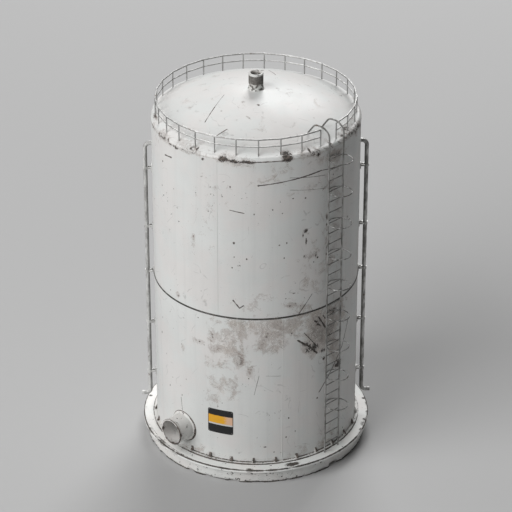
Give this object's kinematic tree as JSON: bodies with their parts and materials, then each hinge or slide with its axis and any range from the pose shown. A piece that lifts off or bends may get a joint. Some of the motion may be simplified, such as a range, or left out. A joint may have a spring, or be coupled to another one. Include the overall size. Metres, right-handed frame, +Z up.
{
  "type": "vertical storage tank",
  "caption": "Upright cylindrical steel storage tank with a dished roof, guardrail, caged ladder, side pipes and a nozzle, on a round concrete plinth.",
  "frame": {"origin": "centre of the underside of the round plinth", "axes": "+Z up along the tank's axis, -Y towards the nozzle low on the shell, +X towards the caged ladder"},
  "size_m": [6.3436, 6.193, 10.475],
  "materials": {
    "white_paint": "weathered white paint on steel",
    "roof_paint": "weathered white paint, cleaner than the shell",
    "plinth_paint": null,
    "galvanised_steel": "dull galvanised",
    "rail_paint": "worn grey paint",
    "dark_steel": "bare dark steel with ragged old paint"
  },
  "bodies": {
    "root": {"bottom_plate": "white_paint", "cage_hoop_1": "rail_paint", "cage_hoop_2": "rail_paint", "cage_hoop_3": "rail_paint", "cage_hoop_4": "rail_paint", "cage_hoop_5": "rail_paint", "cage_hoop_6": "rail_paint", "cage_hoop_7": "rail_paint", "cage_hoop_8": "rail_paint", "cage_hoop_9": "rail_paint", "down_pipe_left": "galvanised_steel", "down_pipe_right": "galvanised_steel", "girth_seam": "white_paint", "grab_rail_left": "rail_paint", "grab_rail_right": "rail_paint", "guardrail_1": "rail_paint", "guardrail_2": "rail_paint", "guardrail_3": "rail_paint", "guardrail_4": "rail_paint", "ladder": "rail_paint", "lower_shell_plate_1": "white_paint", "lower_shell_plate_2": "white_paint", "lower_shell_plate_3": "white_paint", "nozzle_neck": "white_paint", "nozzle_pad": "white_paint", "pipe_bracket_left_1": "galvanised_steel", "pipe_bracket_left_2": "galvanised_steel", "pipe_bracket_left_3": "galvanised_steel", "pipe_bracket_left_4": "galvanised_steel", "pipe_bracket_left_5": "galvanised_steel", "pipe_bracket_right_1": "galvanised_steel", "pipe_bracket_right_2": "galvanised_steel", "pipe_bracket_right_3": "galvanised_steel", "pipe_bracket_right_4": "galvanised_steel", "pipe_bracket_right_5": "galvanised_steel", "plinth": "plinth_paint", "plinth_coping": "plinth_paint", "roof_crown": "roof_paint", "roof_plate_1": "roof_paint", "roof_plate_2": "roof_paint", "roof_plate_3": "roof_paint", "upper_shell_plate_1": "white_paint", "upper_shell_plate_2": "white_paint", "upper_shell_plate_3": "white_paint", "vent_pipe": "dark_steel"}
  },
  "joints": []
}
